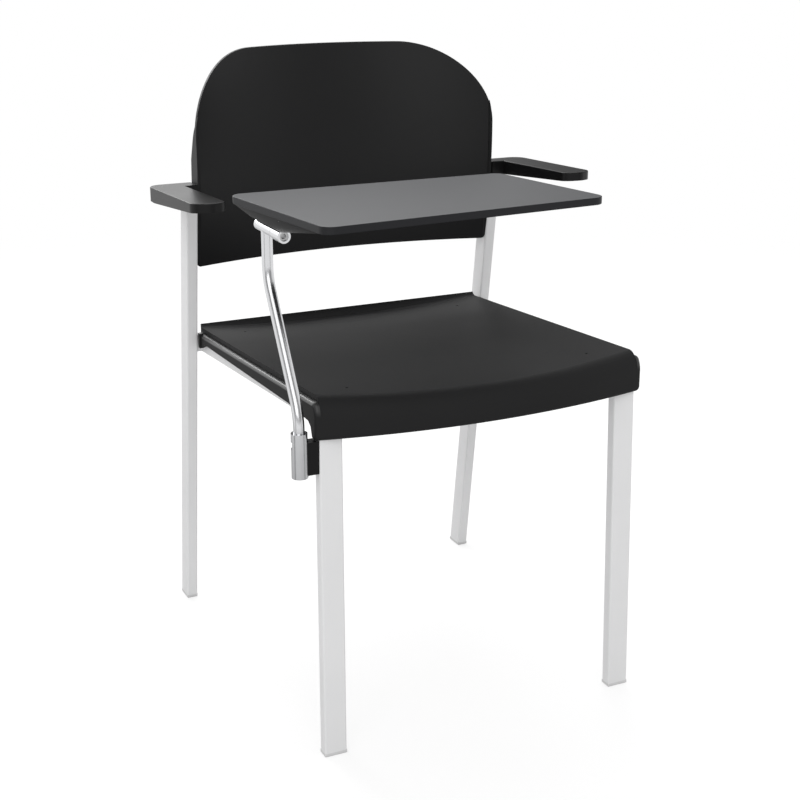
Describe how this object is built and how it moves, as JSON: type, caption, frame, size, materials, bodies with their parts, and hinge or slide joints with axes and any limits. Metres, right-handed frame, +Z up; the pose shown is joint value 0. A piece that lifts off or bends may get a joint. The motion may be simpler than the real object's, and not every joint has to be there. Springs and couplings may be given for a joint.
{
  "type": "tablet arm chair",
  "caption": "Stacking side chair with white tube frame, dark moulded seat and back, short arms, and a writing tablet on a bent post that swings aside and lifts.",
  "frame": {"origin": "on the floor, under the middle of the chair's box", "axes": "+Z up, the sitter faces -Y, +X to the right as seen from the front; the tablet post is at -X"},
  "size_m": [0.5812, 0.5968, 0.83],
  "materials": {
    "white_tube": "white powder coat",
    "black_plastic": "black moulded, lightly grained",
    "white_plastic": "off-white moulded foot caps",
    "chrome": "polished plating",
    "steel": "zinc plated",
    "grey_board": "dark grey satin laminate with dark edge"
  },
  "bodies": {
    "frame": {"front_leg_left": "white_tube", "rear_leg_left": "white_tube", "side_rail_left": "white_tube", "foot_glide_front_left": "white_plastic", "foot_glide_rear_left": "white_plastic", "seat_tab_front_left": "white_tube", "seat_tab_rear_left": "white_tube", "arm_left": "black_plastic", "front_leg_right": "white_tube", "rear_leg_right": "white_tube", "side_rail_right": "white_tube", "foot_glide_front_right": "white_plastic", "foot_glide_rear_right": "white_plastic", "seat_tab_front_right": "white_tube", "seat_tab_rear_right": "white_tube", "arm_right": "black_plastic", "front_crossbar": "white_tube", "rear_crossbar": "white_tube", "seat_shell": "black_plastic", "back_shell": "black_plastic", "socket_clamp": "black_plastic", "socket_bush": "black_plastic", "seat_screws": "steel", "back_screws": "steel", "arm_screws": "steel", "clamp_screws": "steel", "socket_tube": "chrome"},
    "post": {"post": "chrome", "post_stop_pin": "steel", "hinge_sleeve": "chrome"},
    "tablet": {"tablet_board": "grey_board", "tablet_housing": "black_plastic", "hinge_bracket": "chrome", "hinge_bolt": "steel", "hinge_nut": "chrome", "hinge_washer": "steel", "flange_screws": "steel", "housing_screws": "steel"}
  },
  "joints": [
    {"name": "post_swivel", "type": "hinge", "parent": "frame", "child": "post", "pos_m": [-0.2433, -0.22601, 0.404], "axis": [0, 0, 1], "range_deg": [0, 90]},
    {"name": "tablet_flip", "type": "hinge", "parent": "post", "child": "tablet", "pos_m": [-0.2433, -0.13501, 0.66], "axis": [0, -1, 0], "range_deg": [0, 90]}
  ]
}
